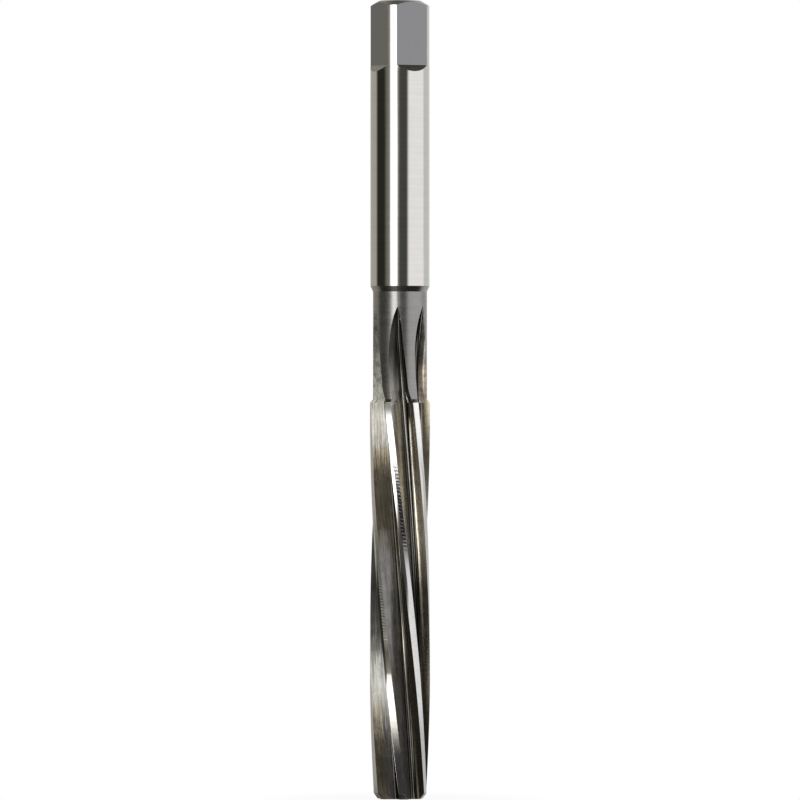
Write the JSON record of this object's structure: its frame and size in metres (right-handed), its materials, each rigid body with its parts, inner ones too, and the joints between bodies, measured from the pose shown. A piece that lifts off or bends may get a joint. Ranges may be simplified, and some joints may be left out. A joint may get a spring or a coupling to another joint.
{
  "type": "hand reamer",
  "caption": "Straight hand reamer with left-hand spiral flutes, relieved lands and a taper lead, a necked cylindrical shank and a square drive end.",
  "frame": {"origin": "centre of the end face of the tip, where the reamer stands", "axes": "+Z along the axis from the tip up to the driving square, -Y the front as seen in the picture, +X to its right"},
  "size_m": [0.01, 0.01, 0.133],
  "materials": {
    "ground_steel": "ground and polished tool steel, satin in the flutes"
  },
  "bodies": {
    "root": {"reamer": "ground_steel"}
  },
  "joints": []
}
